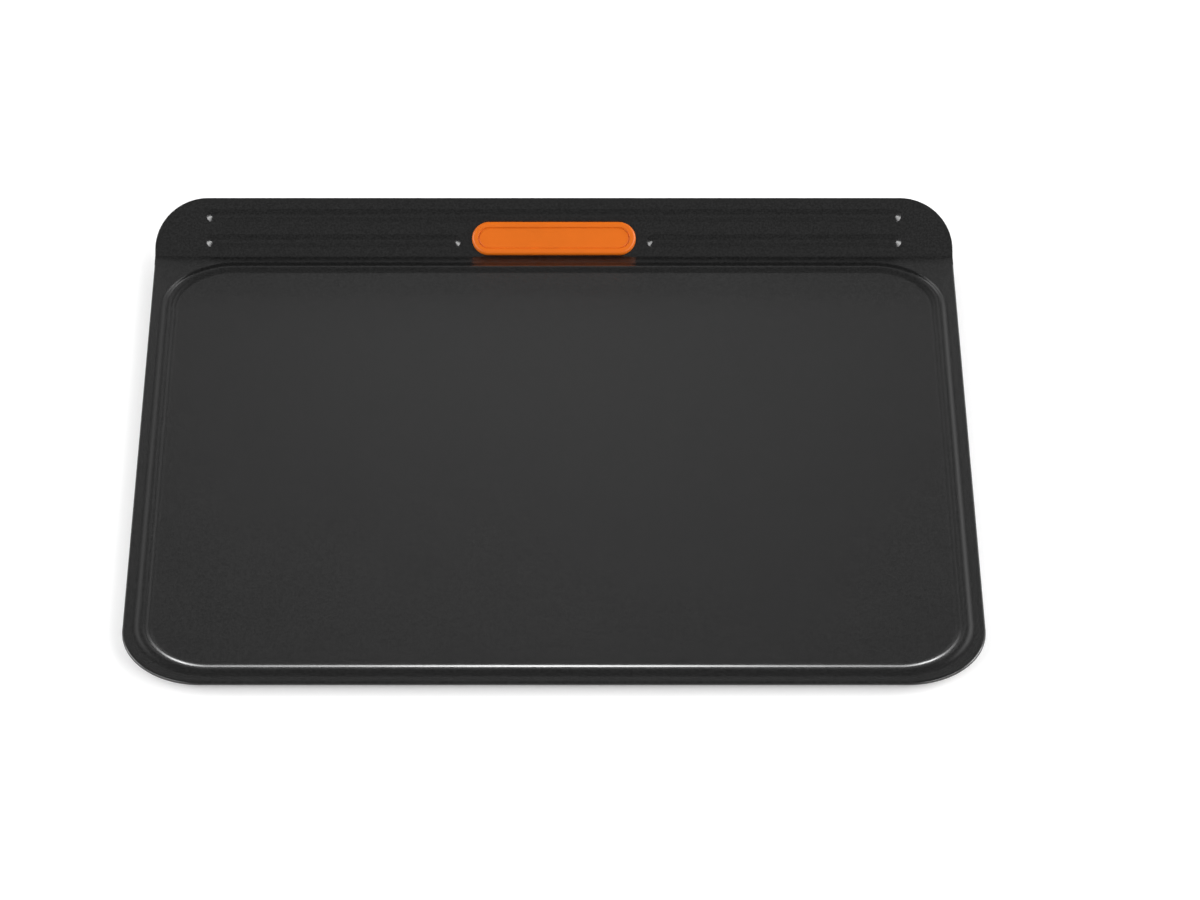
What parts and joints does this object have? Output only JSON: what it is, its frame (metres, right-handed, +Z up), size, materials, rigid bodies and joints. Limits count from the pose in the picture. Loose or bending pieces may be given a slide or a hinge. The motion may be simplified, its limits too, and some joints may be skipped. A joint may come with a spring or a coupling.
{
  "type": "cookie sheet",
  "caption": "Flat double-walled cookie sheet with a bead round the baking field, a folded rim, a sloped ribbed rear lip and a silicone grip.",
  "frame": {"origin": "middle of the footprint, rear lip included, on the plane that the sheet stands on", "axes": "+X across the sheet to the right, +Y towards the rear lip, +Z up"},
  "size_m": [0.38, 0.3308, 0.0241],
  "materials": {
    "coated_steel": "satin non-stick coating on sheet steel",
    "silicone": "smooth silk-matt silicone rubber"
  },
  "bodies": {
    "root": {"baking_sheet": "coated_steel", "base_sheet": "coated_steel", "silicone_grip": "silicone"}
  },
  "joints": []
}
